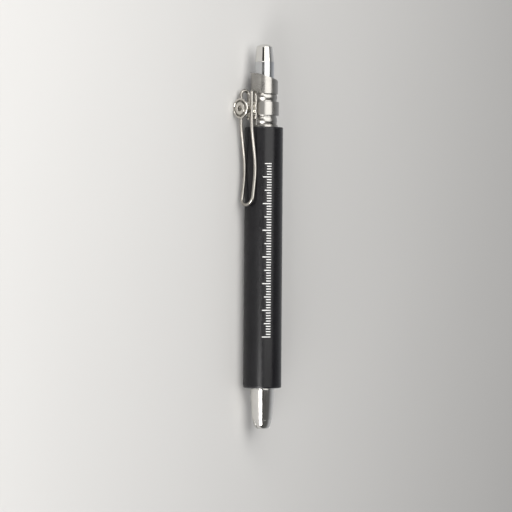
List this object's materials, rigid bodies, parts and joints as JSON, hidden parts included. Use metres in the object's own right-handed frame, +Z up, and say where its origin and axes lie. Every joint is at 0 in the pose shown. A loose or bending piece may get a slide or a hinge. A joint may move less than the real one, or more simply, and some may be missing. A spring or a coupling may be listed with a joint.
{
  "type": "lead holder",
  "caption": "Clutch lead holder for thick artist leads, with a black barrel, metal nose cone with collet jaws, spring wire pocket clip and push button.",
  "frame": {"origin": "centre of the bounding box at table level, with the holder lying on its barrel and on the rim of the clip's stud", "axes": "+Y along the holder's axis, from the jaws to the push button; +Z up; the clip's stud points to -X and slightly down"},
  "size_m": [0.0205, 0.145, 0.0144],
  "materials": {
    "barrel_black": "satin black, soft touch",
    "polished_chrome": "polished",
    "tube_chrome": "bright, slightly satin",
    "satin_nickel": "fine turned satin",
    "polished_nickel": "polished",
    "clip_nickel": "bright drawn wire",
    "spring_steel": "bright drawn wire",
    "brass": "turned",
    "bush_plastic": "moulded",
    "graphite": "satin graphite"
  },
  "bodies": {
    "holder": {"barrel": "barrel_black", "barrel_liner": "brass", "nose_cone": "polished_chrome", "spring_seat": "spring_steel", "return_spring": "spring_steel", "collar": "satin_nickel", "guide_bush": "bush_plastic", "clip_saddle": "satin_nickel", "stud_washer": "polished_nickel", "stud_screw": "polished_nickel", "clip_wire_ends": "clip_nickel"},
    "clip": {"clip_wire": "clip_nickel"},
    "mechanism": {"feed_tube": "tube_chrome", "stop_ring": "brass", "collet_sleeve": "brass"},
    "jaw_1": {"collet_jaw_1": "polished_chrome"},
    "jaw_2": {"collet_jaw_2": "polished_chrome"},
    "jaw_3": {"collet_jaw_3": "polished_chrome"},
    "cap": {"push_cap": "polished_chrome", "sharpener_core": "bush_plastic", "sharpener_blade": "spring_steel"},
    "lead": {"lead": "graphite"}
  },
  "joints": [
    {"name": "button_press", "type": "slide", "parent": "holder", "child": "mechanism", "axis": [0, -1, 0], "range_m": [0, 0.005], "stiffness_N_per_m": 500, "springref_m": -0.004, "deforming": ["return_spring"]},
    {"name": "jaw_1_open", "type": "hinge", "parent": "mechanism", "child": "jaw_1", "pos_m": [0.00081, -0.05056, 0.00934], "axis": [-0.6914, 0, -0.7225], "range_deg": [0, 4.1]},
    {"name": "jaw_2_open", "type": "hinge", "parent": "mechanism", "child": "jaw_2", "pos_m": [0.00603, -0.05056, 0.00807], "axis": [-0.28, 0, 0.96], "range_deg": [0, 4.1]},
    {"name": "jaw_3_open", "type": "hinge", "parent": "mechanism", "child": "jaw_3", "pos_m": [0.00232, -0.05056, 0.00419], "axis": [0.9714, 0, -0.2375], "range_deg": [0, 4.1]},
    {"name": "cap_pull", "type": "slide", "parent": "mechanism", "child": "cap", "axis": [0, 1, 0], "range_m": [0, 0.008]},
    {"name": "lead_slide", "type": "slide", "parent": "mechanism", "child": "lead", "axis": [0, 1, 0], "range_m": [0, 0.004]},
    {"name": "clip_lift", "type": "hinge", "parent": "holder", "child": "clip", "pos_m": [-0.00448, 0.0547, 0.005], "axis": [0.28, 0, -0.96], "range_deg": [0, 4.5], "stiffness_Nm_per_rad": 0.05, "springref_deg": -5.73}
  ],
  "couplings": [
    {"joint": "jaw_1_open", "follows": "button_press", "rad_per_m": 14.2},
    {"joint": "jaw_2_open", "follows": "button_press", "rad_per_m": 14.2},
    {"joint": "jaw_3_open", "follows": "button_press", "rad_per_m": 14.2}
  ]
}
